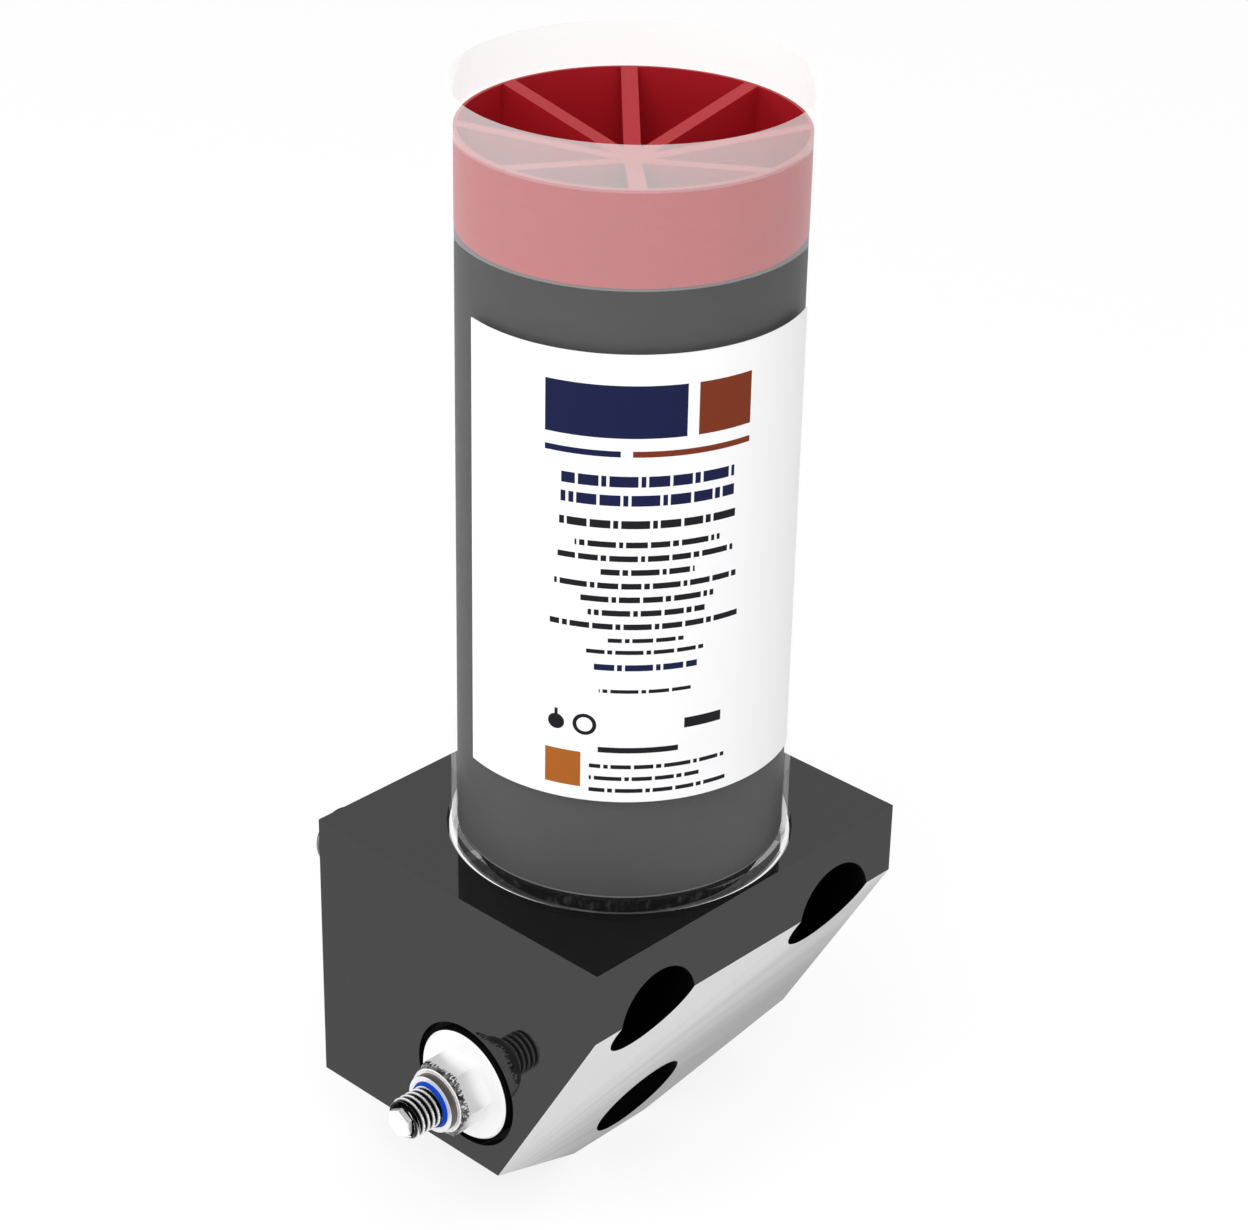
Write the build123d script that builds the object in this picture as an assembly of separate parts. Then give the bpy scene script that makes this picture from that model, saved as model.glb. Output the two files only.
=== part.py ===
from build123d import *
from math import cos, pi, radians, sin, sqrt, tan
import os

# Automatic grease lubricator: a steel pump block bolted to a machine, with a clear
# screw-in grease cartridge standing on it. Oil pressure pulses drive a small plunger
# pump inside the block; a setting screw with a sealing nut limits its stroke.
#
# Frame: X = 0 is the mounting face and +X the front, Y = 0 the middle plane,
# Z = 0 the foot of the block. The pump's axis runs along Y, below the cartridge.
# Lengths are in millimetres.

# ---- body block -----------------------------------------------------------------
REAR_WALL = 6.9           # cartridge socket to mounting face
FRONT_WALL = 0.9          # cartridge socket to front
SIDE_HEIGHT = 56.5        # upright height of the two end faces
BELLY_DROP = 16.5         # height over which the block tapers in to its foot
FOOT_WIDTH = 20.0
FRONT_STRIP = 14.3        # upright strip above the sloped front
UNDERCUT_ANGLE = 30.0     # slope of the front, from the vertical

# ---- mounting bolts, M12 socket head --------------------------------------------
BOLT_D = 12.0
BOLT_LENGTH = 35.0
BOLT_THREAD = 13.0        # threaded end
BOLT_NECK_RELIEF = 0.5    # radial, plain shank below the thread
BOLT_HEAD_D = 18.0
BOLT_HEAD_H = 12.0
BOLT_KEY = 10.0
BOLT_KEY_DEPTH = 6.0
BOLT_TIP_CHAMFER = 0.5
BOLT_HEAD_CHAMFER = 0.8
BOLT_CLEAR = 0.5          # radial, shank to hole
BOLT_HEAD_CLEAR = 0.5     # radial, head to counterbore
BOLT_SEAT = 22.0          # block thickness clamped under a bolt head
UPPER_BOLT_SPREAD = 48.0
UPPER_BOLT_DROP = 16.0    # below the top face
LOWER_BOLT_Z = 12.4

# ---- cartridge --------------------------------------------------------------------
TUBE_D = 62.4
TUBE_WALL = 1.05
TUBE_REACH = 144.2        # rim above the block's top
TUBE_SINK = 3.0           # tube's shoulder below the block's top
TUBE_FLOOR_RIM = 2.0      # inner floor at the wall, above the block's top
TUBE_FLOOR_SLOPE = 2.5    # fall of the inner floor from wall to neck
RIM_ROUND = 0.4
NECK_D = 24.0
NECK_LENGTH = 14.0
NECK_BORE_D = 12.0
LABEL_WIDTH = 70.0
LABEL_HEIGHT = 85.0
LABEL_BASE = 22.9         # lower edge above the block's top
LABEL_THICKNESS = 0.2
LABEL_GAP = 0.02
LABEL_ANGLE = -39.5       # middle of the label round the tube, from +X
GREASE_GAP = 0.1

# ---- follower piston ----------------------------------------------------------------
FOLLOWER_SET = 8.3        # rim of the follower below the tube's rim, cartridge full
FOLLOWER_HEIGHT = 17.0
FOLLOWER_WALL = 0.6       # thin skirt that wipes the tube
FOLLOWER_FLOOR = 2.4
RIB_WIDTH = 2.9
RIB_COUNT = 8
RIB_FALL = 6.2            # ribs' tops, from the rim down to the hub
HUB_D = 6.0
FOLLOWER_FIT = 0.05       # skirt to tube, radial

# ---- cartridge seat in the block ------------------------------------------------------
SOCKET_GAP = 0.9          # radial, tube to socket
SOCKET_DEPTH = 4.0
RING_FLOOR = 1.0
RING_WIDTH = 5.1          # radial, at its floor
RING_GAP = 0.45           # radial, ring to socket
RING_SINK = 0.6           # ring's rim below the block's top
NECK_SEAL_WIDTH = 5.0     # radial
GALLERY_DEPTH = 1.0       # space under the neck
SCREW_FIT = 0.05          # radial, between screwed pieces drawn without threads
PRESS_FIT = 0.02          # radial, between pieces pressed together
SEAL_FIT = 0.03           # radial, between a seal and the wall that it wipes
RUNNING_FIT = 0.04        # radial, on pistons, plunger and pin

# ---- pump bore -----------------------------------------------------------------------
PUMP_Z = 33.0
PUMP_BORE_D = 16.0
PORT_D = 6.0
GREASE_PORT_OFFSET = 5.5  # ahead of the valve seat
PORT_GROOVE_D = 13.0
PORT_RING_WIRE = 1.8
PORT_GROOVE_DEPTH = 1.4

# ---- pump cap and stroke setting --------------------------------------------------------
CAP_RECESS_GAP = 1.5      # radial, round the cap's head
CAP_RECESS_DEPTH = 4.0
CAP_D = 22.0
CAP_PROUD = 0.7
CAP_CHAMFER = 0.4
CAP_SEAL = 1.0            # thickness of the washer under the cap's head
CAP_SHOULDER = 1.0        # radial, head to thread
CAP_THREAD_LENGTH = 10.0
CAP_RUNOUT = 0.5          # thread bore beyond the cap's end
SCREW_D = 8.0
SCREW_LENGTH = 22.0
SCREW_PROUD = 15.9        # outer end from the block's end face
SCREW_KEY = 5.0
SCREW_KEY_DEPTH = 4.0
SCREW_CHAMFER = 0.6
NUT_KEY = 13.0
NUT_HEIGHT = 6.6
NUT_FACE_D = 12.3         # chamfer circle of the nut
NUT_COLLAR_WALL = 1.0     # collar round the seal's recess
NUT_COLLAR = 1.6
NUT_SEAL_WIDTH = 0.6      # radial
NUT_SEAL_DEPTH = 1.4
NUT_SEAL_PROUD = 0.7
PIN_D = 6.0
PIN_GUIDE = 0.2           # guide's mouth ahead of the screw's tip
PIN_SEAL_SETBACK = 1.6    # middle of the pin's seal from the cap's inner end
RING_SECTION = 1.0        # section of the pin's and the piston's seals
GROOVE_PLAY = 0.2

# ---- pump elements ------------------------------------------------------------------
OIL_CHAMBER = 6.0         # cap's end to drive piston
STOP_GAP = 0.1            # pin to drive piston
DRIVE_LENGTH = 9.0
TAIL_DEPTH = 4.0          # plunger's tail inside the drive piston
SPRING_SPACE = 12.0
PLUNGER_D = 8.0
PLUNGER_LEAD = 5.0        # plunger's nose inside the sleeve at rest
PLUNGER_CHAMFER = 0.4
SPRING_WIRE = 1.1
SPRING_TURNS = 4
SPRING_MEAN_D = 12.6
SLEEVE_LENGTH = 16.0
FEED_OFFSET = 2.5         # feed hole ahead of the plunger's nose
FEED_D = 3.0
SEAT_LENGTH = 4.5
SEAT_HOLE_D = 3.2
SEAT_CONE = 2.0           # depth of the 45 degree seat
VALVE_SPACE = 11.5        # seat to plug seal
BALL_D = 6.0
BALL_CLEAR = 0.05
CHECK_WIRE = 0.6
CHECK_TURNS = 6
CHECK_MEAN_D = 4.4
PLUG_STEP = 1.0           # radial, plug to pump bore
PLUG_SEAL = 1.0
PLUG_LENGTH = 6.5
PLUG_SINK = 0.5           # plug's outer end inside the block's end face
PLUG_KEY = 8.0
PLUG_KEY_DEPTH = 4.0
PLUG_POCKET_D = 6.0
PLUG_POCKET = 1.5

# ---- places worked out from the sizes ---------------------------------------------------
# The socket sets the block's depth, and the pump line in its bore sets the width.
SOCKET_R = TUBE_D / 2 + SOCKET_GAP
CARTRIDGE_X = REAR_WALL + SOCKET_R
BLOCK_DEPTH = CARTRIDGE_X + SOCKET_R + FRONT_WALL
BLOCK_WIDTH = (
    CAP_RECESS_DEPTH - CAP_SEAL + CAP_THREAD_LENGTH + OIL_CHAMBER + DRIVE_LENGTH + SPRING_SPACE
    + SLEEVE_LENGTH + SEAT_LENGTH + VALVE_SPACE + PLUG_SEAL + PLUG_LENGTH + PLUG_SINK
)
END_Y = BLOCK_WIDTH / 2
TOP = SIDE_HEIGHT + BELLY_DROP
SLOPE = tan(radians(UNDERCUT_ANGLE))
FOOT_FRONT = BLOCK_DEPTH - (TOP - FRONT_STRIP) * SLOPE
BOLT_HOLE_D = BOLT_D + 2 * BOLT_CLEAR
COUNTERBORE_D = BOLT_HEAD_D + 2 * BOLT_HEAD_CLEAR
BOLT_PLACES = [
    (-UPPER_BOLT_SPREAD / 2, TOP - UPPER_BOLT_DROP),
    (UPPER_BOLT_SPREAD / 2, TOP - UPPER_BOLT_DROP),
    (0.0, LOWER_BOLT_Z),
]

TUBE_BORE_R = TUBE_D / 2 - TUBE_WALL
TUBE_BASE = TOP - TUBE_SINK
NECK_END = TUBE_BASE - NECK_LENGTH
SOCKET_FLOOR = TOP - SOCKET_DEPTH
GALLERY_FLOOR = NECK_END - GALLERY_DEPTH
NECK_BORE_TOP = TOP + TUBE_FLOOR_RIM - TUBE_FLOOR_SLOPE
NECK_SEAL_R = NECK_D / 2 + NECK_SEAL_WIDTH
FOLLOWER_R = TUBE_BORE_R - FOLLOWER_FIT
FOLLOWER_RIM = TOP + TUBE_REACH - FOLLOWER_SET
FOLLOWER_BASE = FOLLOWER_RIM - FOLLOWER_HEIGHT

CAP_THREAD_D = CAP_D - 2 * CAP_SHOULDER
CAP_FACE = -END_Y - CAP_PROUD
CAP_SEAL_INNER = -END_Y + CAP_RECESS_DEPTH
CAP_SEAT = CAP_SEAL_INNER - CAP_SEAL
CAP_END = CAP_SEAT + CAP_THREAD_LENGTH
SCREW_OUTER = -END_Y - SCREW_PROUD
SCREW_TIP = SCREW_OUTER + SCREW_LENGTH
GUIDE_MOUTH = SCREW_TIP + PIN_GUIDE
NUT_SHOULDER = CAP_FACE - NUT_HEIGHT
NUT_FACE = NUT_SHOULDER - NUT_COLLAR
NUT_SEAL_R = SCREW_D / 2 + NUT_SEAL_WIDTH

DRIVE_BACK = CAP_END + OIL_CHAMBER
DRIVE_FRONT = DRIVE_BACK + DRIVE_LENGTH
SLEEVE_BACK = DRIVE_FRONT + SPRING_SPACE
SLEEVE_FRONT = SLEEVE_BACK + SLEEVE_LENGTH
PLUNGER_NOSE = SLEEVE_BACK + PLUNGER_LEAD
FEED_Y = PLUNGER_NOSE + FEED_OFFSET
SEAT_FRONT = SLEEVE_FRONT + SEAT_LENGTH
BALL_Y = SEAT_FRONT - SEAT_CONE - SEAT_HOLE_D / 2 + BALL_D / 2 * sqrt(2) + BALL_CLEAR
PLUG_SHOULDER = SEAT_FRONT + VALVE_SPACE
PLUG_INNER = PLUG_SHOULDER + PLUG_SEAL
PLUG_OUTER = PLUG_INNER + PLUG_LENGTH
PLUG_R = PUMP_BORE_D / 2 + PLUG_STEP
OIL_PORT_Y = CAP_END + OIL_CHAMBER / 2
GREASE_PORT_Y = SEAT_FRONT + GREASE_PORT_OFFSET


# ---- helpers ------------------------------------------------------------------------
def rod_x(diameter, x_from, x_to, y, z):
    """Cylinder along X between two places."""
    length = x_to - x_from
    return Pos(x_from + length / 2, y, z) * Rot(0, 90, 0) * Cylinder(diameter / 2, length)


def rod_z(diameter, z_from, z_to, x, y):
    """Cylinder along Z between two places."""
    length = z_to - z_from
    return Pos(x, y, z_from + length / 2) * Cylinder(diameter / 2, length)


def turned_pump(outline):
    """Piece turned about the pump's axis from (radius, y) points."""
    face = Pos(CARTRIDGE_X, 0, PUMP_Z) * make_face(Polyline(*outline, close=True))
    return revolve(face, Axis((CARTRIDGE_X, 0, PUMP_Z), (0, 1, 0)))


def turned_upright(outline):
    """Piece turned about the cartridge's axis from (radius, z) points."""
    face = Pos(CARTRIDGE_X, 0, 0) * Plane.XZ * make_face(Polyline(*outline, close=True))
    return revolve(face, Axis((CARTRIDGE_X, 0, 0), (0, 0, 1)))


def hex_along_pump(across_flats, y_from, y_to):
    """Hexagonal prism on the pump's axis."""
    plane = Plane((CARTRIDGE_X, y_from, PUMP_Z), x_dir=(1, 0, 0), z_dir=(0, 1, 0))
    outline = RegularPolygon(across_flats / sqrt(3), 6)
    return extrude(plane * outline, y_to - y_from)


def pump_ring(inner_r, outer_r, y_from, y_to):
    """Flat ring on the pump's axis."""
    return turned_pump([(inner_r, y_from), (outer_r, y_from), (outer_r, y_to), (inner_r, y_to)])


def coil_spring(mean_d, wire, turns, y_from, y_to):
    """Spring of square wire with its ends inside the two given places."""
    pitch = (y_to - y_from - wire) / turns
    path = Helix(pitch, pitch * turns, mean_d / 2)
    section = Plane(path @ 0, x_dir=(1, 0, 0), z_dir=path % 0) * Rectangle(wire, wire)
    coil = sweep(section, path, is_frenet=True)
    return Pos(CARTRIDGE_X, y_from + wire / 2, PUMP_Z) * Rot(-90, 0, 0) * coil


# ---- body block -----------------------------------------------------------------------
def block_blank():
    """Side profile pushed across the width, with both flanks cut in to the foot."""
    profile = Polyline(
        (0, 0), (FOOT_FRONT, 0), (BLOCK_DEPTH, TOP - FRONT_STRIP), (BLOCK_DEPTH, TOP), (0, TOP),
        close=True,
    )
    blank = extrude(Plane.XZ * make_face(profile), BLOCK_WIDTH / 2, both=True)
    end_view = Polyline(
        (-FOOT_WIDTH / 2, 0), (FOOT_WIDTH / 2, 0), (END_Y, BELLY_DROP), (END_Y, TOP),
        (-END_Y, TOP), (-END_Y, BELLY_DROP),
        close=True,
    )
    return blank & extrude(Plane.YZ * make_face(end_view), BLOCK_DEPTH)


def bolt_holes():
    """Through holes from the mounting face, with deep counterbores from the front."""
    holes = []
    for y, z in BOLT_PLACES:
        holes.append(rod_x(BOLT_HOLE_D, 0, BLOCK_DEPTH, y, z))
        holes.append(rod_x(COUNTERBORE_D, BOLT_SEAT, BLOCK_DEPTH, y, z))
    return holes


def cartridge_socket():
    """Socket, neck bore and the feed hole down to the pump."""
    return [
        rod_z(2 * SOCKET_R, SOCKET_FLOOR, TOP, CARTRIDGE_X, 0),
        rod_z(NECK_D + 2 * SCREW_FIT, GALLERY_FLOOR, SOCKET_FLOOR, CARTRIDGE_X, 0),
        rod_z(FEED_D, PUMP_Z, GALLERY_FLOOR, CARTRIDGE_X, FEED_Y),
    ]


def pump_bore():
    """Stepped bore along Y: cap recess, cap thread, pump bore and plug thread."""
    recess_r = CAP_D / 2 + CAP_RECESS_GAP
    cap_r = CAP_THREAD_D / 2 + SCREW_FIT
    bore_r = PUMP_BORE_D / 2
    plug_r = PLUG_R + SCREW_FIT
    outline = [
        (0, -END_Y), (recess_r, -END_Y), (recess_r, CAP_SEAL_INNER), (cap_r, CAP_SEAL_INNER),
        (cap_r, CAP_END + CAP_RUNOUT), (bore_r, CAP_END + CAP_RUNOUT),
        (bore_r, PLUG_SHOULDER), (plug_r, PLUG_SHOULDER), (plug_r, END_Y), (0, END_Y),
    ]
    return turned_pump(outline)


def ports():
    """Oil inlet and grease outlet in the mounting face, each with a seal groove."""
    cuts = []
    for y in (OIL_PORT_Y, GREASE_PORT_Y):
        cuts.append(rod_x(PORT_D, 0, CARTRIDGE_X, y, PUMP_Z))
        cuts.append(rod_x(PORT_GROOVE_D, 0, PORT_GROOVE_DEPTH, y, PUMP_Z))
    return cuts


def body_block():
    block = block_blank() - bolt_holes() - cartridge_socket() - pump_bore()
    return block - ports()


def mounting_bolts():
    """Three socket head screws, heads at the bottom of their counterbores."""
    head_r = BOLT_HEAD_D / 2
    thread_r = BOLT_D / 2
    neck_r = thread_r - BOLT_NECK_RELIEF
    tip = BOLT_SEAT - BOLT_LENGTH
    outline = [
        (0, tip), (thread_r - BOLT_TIP_CHAMFER, tip), (thread_r, tip + BOLT_TIP_CHAMFER),
        (thread_r, tip + BOLT_THREAD), (neck_r, tip + BOLT_THREAD),
        (neck_r, BOLT_SEAT), (head_r, BOLT_SEAT),
        (head_r, BOLT_SEAT + BOLT_HEAD_H - BOLT_HEAD_CHAMFER),
        (head_r - BOLT_HEAD_CHAMFER, BOLT_SEAT + BOLT_HEAD_H), (0, BOLT_SEAT + BOLT_HEAD_H),
    ]
    turned = revolve(Plane.XY * make_face(Polyline(*outline, close=True)), Axis.Y)
    lying = Rot(0, 0, -90) * turned
    key_floor = BOLT_SEAT + BOLT_HEAD_H - BOLT_KEY_DEPTH
    key = extrude(Plane.YZ.offset(key_floor) * RegularPolygon(BOLT_KEY / sqrt(3), 6), BOLT_KEY_DEPTH)
    bolt = lying - key
    return Compound([Pos(0, y, z) * bolt for y, z in BOLT_PLACES])


def port_seal(y):
    """O-ring standing slightly out of its groove round a port."""
    ring_r = PORT_GROOVE_D / 2 - PORT_RING_WIRE / 2 - SEAL_FIT
    middle = PORT_GROOVE_DEPTH - PORT_RING_WIRE / 2
    return Pos(middle, y, PUMP_Z) * Rot(0, 90, 0) * Torus(ring_r, PORT_RING_WIRE / 2)


# ---- cartridge --------------------------------------------------------------------------
def seat_ring():
    """White ring in the socket: a floor under the tube's shoulder and a thin lip round it."""
    outer_r = SOCKET_R - RING_GAP
    inner_r = SOCKET_R - RING_WIDTH
    lip_r = TUBE_D / 2 + RUNNING_FIT
    rim = TOP - RING_SINK
    step = SOCKET_FLOOR + RING_FLOOR
    return turned_upright([
        (inner_r, SOCKET_FLOOR), (outer_r, SOCKET_FLOOR), (outer_r, rim),
        (lip_r, rim), (lip_r, step), (inner_r, step),
    ])


def neck_seal():
    """Flat gasket between the tube's shoulder and the socket's floor."""
    inner_r = NECK_D / 2 + SCREW_FIT
    return turned_upright([
        (inner_r, SOCKET_FLOOR), (NECK_SEAL_R, SOCKET_FLOOR),
        (NECK_SEAL_R, TUBE_BASE), (inner_r, TUBE_BASE),
    ])


def cartridge_tube():
    """Clear tube moulded in one with its sloped floor and screwed neck."""
    outer_r = TUBE_D / 2
    rim = TOP + TUBE_REACH
    return turned_upright([
        (NECK_BORE_D / 2, NECK_END), (NECK_D / 2, NECK_END), (NECK_D / 2, TUBE_BASE),
        (outer_r, TUBE_BASE), (outer_r, rim - RIM_ROUND), (outer_r - RIM_ROUND, rim),
        (TUBE_BORE_R, rim), (TUBE_BORE_R, TOP + TUBE_FLOOR_RIM), (NECK_BORE_D / 2, NECK_BORE_TOP),
    ])


def grease_fill():
    """Grease column from the neck up to the follower."""
    charge_r = TUBE_BORE_R - GREASE_GAP
    core_r = NECK_BORE_D / 2 - GREASE_GAP
    top = FOLLOWER_BASE - GREASE_GAP
    floor_rim = TOP + TUBE_FLOOR_RIM + GREASE_GAP
    return turned_upright([
        (0, NECK_END), (core_r, NECK_END), (core_r, NECK_BORE_TOP + GREASE_GAP),
        (charge_r, floor_rim), (charge_r, top), (0, top),
    ])


def cartridge_label():
    """Printed wrap covering part of the tube's round."""
    inner_r = TUBE_D / 2 + LABEL_GAP
    span = LABEL_WIDTH / (TUBE_D / 2) * 180 / pi
    ring = turned_upright([
        (inner_r, TOP + LABEL_BASE), (inner_r + LABEL_THICKNESS, TOP + LABEL_BASE),
        (inner_r + LABEL_THICKNESS, TOP + LABEL_BASE + LABEL_HEIGHT),
        (inner_r, TOP + LABEL_BASE + LABEL_HEIGHT),
    ])
    reach = TUBE_D
    edges = [(0, 0)]
    for share in (-0.5, -0.25, 0, 0.25, 0.5):
        angle = radians(LABEL_ANGLE + share * span)
        edges.append((reach * cos(angle), reach * sin(angle)))
    wedge = extrude(make_face(Polyline(*edges, close=True)), LABEL_HEIGHT)
    return ring & Pos(CARTRIDGE_X, 0, TOP + LABEL_BASE) * wedge


def follower_piston():
    """Moulded cup with a thin wiping skirt and radial ribs that fall to a hub."""
    rim = FOLLOWER_RIM
    floor = FOLLOWER_BASE + FOLLOWER_FLOOR
    inner_r = FOLLOWER_R - FOLLOWER_WALL
    cup = turned_upright([
        (0, FOLLOWER_BASE), (FOLLOWER_R, FOLLOWER_BASE), (FOLLOWER_R, rim),
        (inner_r, rim), (inner_r, floor), (0, floor),
    ])
    hub_top = rim - RIB_FALL
    cup += rod_z(HUB_D, floor, hub_top + RIB_FALL * HUB_D / 2 / inner_r, CARTRIDGE_X, 0)
    end_r = FOLLOWER_R - FOLLOWER_WALL / 2
    side = Polyline((0, floor), (end_r, floor), (end_r, rim), (inner_r, rim), (0, hub_top), close=True)
    rib = extrude(Plane.XZ * make_face(side), RIB_WIDTH / 2, both=True)
    for number in range(RIB_COUNT):
        cup += Pos(CARTRIDGE_X, 0, 0) * Rot(0, 0, 360 / RIB_COUNT * number) * rib
    return cup


# ---- pump cap and stroke setting ----------------------------------------------------------
def pump_cap():
    """Screw plug that carries the setting screw and guides the stop pin."""
    head_r = CAP_D / 2
    thread_r = CAP_THREAD_D / 2
    screw_r = SCREW_D / 2 + SCREW_FIT
    guide_r = PIN_D / 2 + RUNNING_FIT
    return turned_pump([
        (screw_r, CAP_FACE), (head_r - CAP_CHAMFER, CAP_FACE), (head_r, CAP_FACE + CAP_CHAMFER),
        (head_r, CAP_SEAT), (thread_r, CAP_SEAT), (thread_r, CAP_END), (guide_r, CAP_END),
        (guide_r, GUIDE_MOUTH), (screw_r, GUIDE_MOUTH),
    ])


def cap_seal():
    inner_r = CAP_THREAD_D / 2 + SCREW_FIT
    return pump_ring(inner_r, CAP_D / 2, CAP_SEAT, CAP_SEAL_INNER)


def adjusting_screw():
    """Headless setting screw with a hexagon socket in its outer end."""
    radius = SCREW_D / 2
    inset = radius - SCREW_CHAMFER
    rod = turned_pump([
        (0, SCREW_OUTER), (inset, SCREW_OUTER), (radius, SCREW_OUTER + SCREW_CHAMFER),
        (radius, SCREW_TIP - SCREW_CHAMFER), (inset, SCREW_TIP), (0, SCREW_TIP),
    ])
    return rod - hex_along_pump(SCREW_KEY, SCREW_OUTER, SCREW_OUTER + SCREW_KEY_DEPTH)


def lock_nut():
    """Sealing nut: chamfered hexagon, round collar and a recess for its seal."""
    bore_r = SCREW_D / 2 + SCREW_FIT
    corner_r = NUT_KEY / sqrt(3)
    face_r = NUT_FACE_D / 2
    bevel = (corner_r - face_r) * tan(radians(30))
    envelope = turned_pump([
        (0, CAP_FACE), (corner_r, CAP_FACE), (corner_r, NUT_SHOULDER + bevel), (face_r, NUT_SHOULDER),
        (0, NUT_SHOULDER),
    ])
    nut = hex_along_pump(NUT_KEY, NUT_SHOULDER, CAP_FACE) & envelope
    nut += pump_ring(0, NUT_SEAL_R + NUT_COLLAR_WALL, NUT_FACE, NUT_SHOULDER)
    nut -= pump_ring(0, bore_r, NUT_FACE, CAP_FACE)
    return nut - pump_ring(0, NUT_SEAL_R, NUT_FACE, NUT_FACE + NUT_SEAL_DEPTH)


def lock_nut_seal():
    """Blue seal pressed in the nut's recess and standing round the screw."""
    inner_r = SCREW_D / 2 + SEAL_FIT
    outer_r = NUT_SEAL_R - PRESS_FIT
    lip = NUT_FACE - NUT_SEAL_PROUD
    shoulder_r = (inner_r + outer_r) / 2
    return turned_pump([
        (inner_r, NUT_FACE + NUT_SEAL_DEPTH), (outer_r, NUT_FACE + NUT_SEAL_DEPTH),
        (outer_r, NUT_FACE), (shoulder_r, lip), (inner_r, lip),
    ])


def pin_seal_place():
    """Start and end of the groove in the stop pin."""
    middle = CAP_END - PIN_SEAL_SETBACK
    half = RING_SECTION / 2
    return middle - half, middle + half


def stop_pin():
    """Plain pin between the setting screw and the drive piston."""
    radius = PIN_D / 2
    tip = DRIVE_BACK - STOP_GAP
    start, end = pin_seal_place()
    floor_r = radius - RING_SECTION
    return turned_pump([
        (0, SCREW_TIP), (radius, SCREW_TIP), (radius, start - GROOVE_PLAY / 2),
        (floor_r, start - GROOVE_PLAY / 2), (floor_r, end + GROOVE_PLAY / 2),
        (radius, end + GROOVE_PLAY / 2), (radius, tip), (0, tip),
    ])


def stop_pin_seal():
    start, end = pin_seal_place()
    guide_r = PIN_D / 2 + RUNNING_FIT
    inner_r = PIN_D / 2 - RING_SECTION + PRESS_FIT
    return pump_ring(inner_r, guide_r - SEAL_FIT, start, end)


# ---- pump elements --------------------------------------------------------------------
def drive_seal_place():
    """Start and end of the seal in the drive piston."""
    middle = (DRIVE_BACK + DRIVE_FRONT) / 2
    return middle - RING_SECTION, middle + RING_SECTION


def drive_piston():
    """Oil driven piston with a seal groove and a socket for the plunger's tail."""
    radius = PUMP_BORE_D / 2 - RUNNING_FIT
    start, end = drive_seal_place()
    floor_r = radius - RING_SECTION
    tail_r = PLUNGER_D / 2 + PRESS_FIT
    return turned_pump([
        (0, DRIVE_BACK), (radius, DRIVE_BACK), (radius, start - GROOVE_PLAY / 2),
        (floor_r, start - GROOVE_PLAY / 2), (floor_r, end + GROOVE_PLAY / 2),
        (radius, end + GROOVE_PLAY / 2), (radius, DRIVE_FRONT), (tail_r, DRIVE_FRONT),
        (tail_r, DRIVE_FRONT - TAIL_DEPTH), (0, DRIVE_FRONT - TAIL_DEPTH),
    ])


def drive_piston_seal():
    start, end = drive_seal_place()
    outer_r = PUMP_BORE_D / 2 - SEAL_FIT
    inner_r = PUMP_BORE_D / 2 - RUNNING_FIT - RING_SECTION + PRESS_FIT
    return pump_ring(inner_r, outer_r, start, end)


def pump_plunger():
    radius = PLUNGER_D / 2
    tail = DRIVE_FRONT - TAIL_DEPTH
    inset = radius - PLUNGER_CHAMFER
    return turned_pump([
        (0, tail), (radius, tail), (radius, PLUNGER_NOSE - PLUNGER_CHAMFER),
        (inset, PLUNGER_NOSE), (0, PLUNGER_NOSE),
    ])


def pump_sleeve():
    """Barrel pressed in the bore, with the feed hole through its upper wall."""
    barrel = pump_ring(
        PLUNGER_D / 2 + RUNNING_FIT, PUMP_BORE_D / 2 - PRESS_FIT, SLEEVE_BACK, SLEEVE_FRONT
    )
    return barrel - rod_z(FEED_D, PUMP_Z, PUMP_Z + PUMP_BORE_D, CARTRIDGE_X, FEED_Y)


def valve_seat():
    """Pressed seat with a 45 degree cone for the check ball."""
    hole_r = SEAT_HOLE_D / 2
    outer_r = PUMP_BORE_D / 2 - PRESS_FIT
    return turned_pump([
        (hole_r, SLEEVE_FRONT), (outer_r, SLEEVE_FRONT), (outer_r, SEAT_FRONT),
        (hole_r + SEAT_CONE, SEAT_FRONT), (hole_r, SEAT_FRONT - SEAT_CONE),
    ])


def check_ball():
    return Pos(CARTRIDGE_X, BALL_Y, PUMP_Z) * Sphere(BALL_D / 2)


def check_spring():
    """Light spring from the ball to the pocket in the end plug."""
    coil_r = CHECK_MEAN_D / 2 - CHECK_WIRE / 2
    on_ball = BALL_Y + sqrt((BALL_D / 2) ** 2 - coil_r**2) + BALL_CLEAR
    return coil_spring(CHECK_MEAN_D, CHECK_WIRE, CHECK_TURNS, on_ball, PLUG_INNER + PLUG_POCKET)


def return_spring():
    return coil_spring(SPRING_MEAN_D, SPRING_WIRE, SPRING_TURNS, DRIVE_FRONT, SLEEVE_BACK)


def end_plug():
    """Headless plug that closes the pump bore behind the valve."""
    radius = PLUG_R
    pocket_floor = PLUG_INNER + PLUG_POCKET
    plug = turned_pump([
        (0, pocket_floor), (PLUG_POCKET_D / 2, pocket_floor), (PLUG_POCKET_D / 2, PLUG_INNER),
        (radius, PLUG_INNER), (radius, PLUG_OUTER), (0, PLUG_OUTER),
    ])
    return plug - hex_along_pump(PLUG_KEY, PLUG_OUTER - PLUG_KEY_DEPTH, PLUG_OUTER)


def end_plug_seal():
    return pump_ring(PUMP_BORE_D / 2, PLUG_R, PLUG_SHOULDER, PLUG_INNER)


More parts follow.
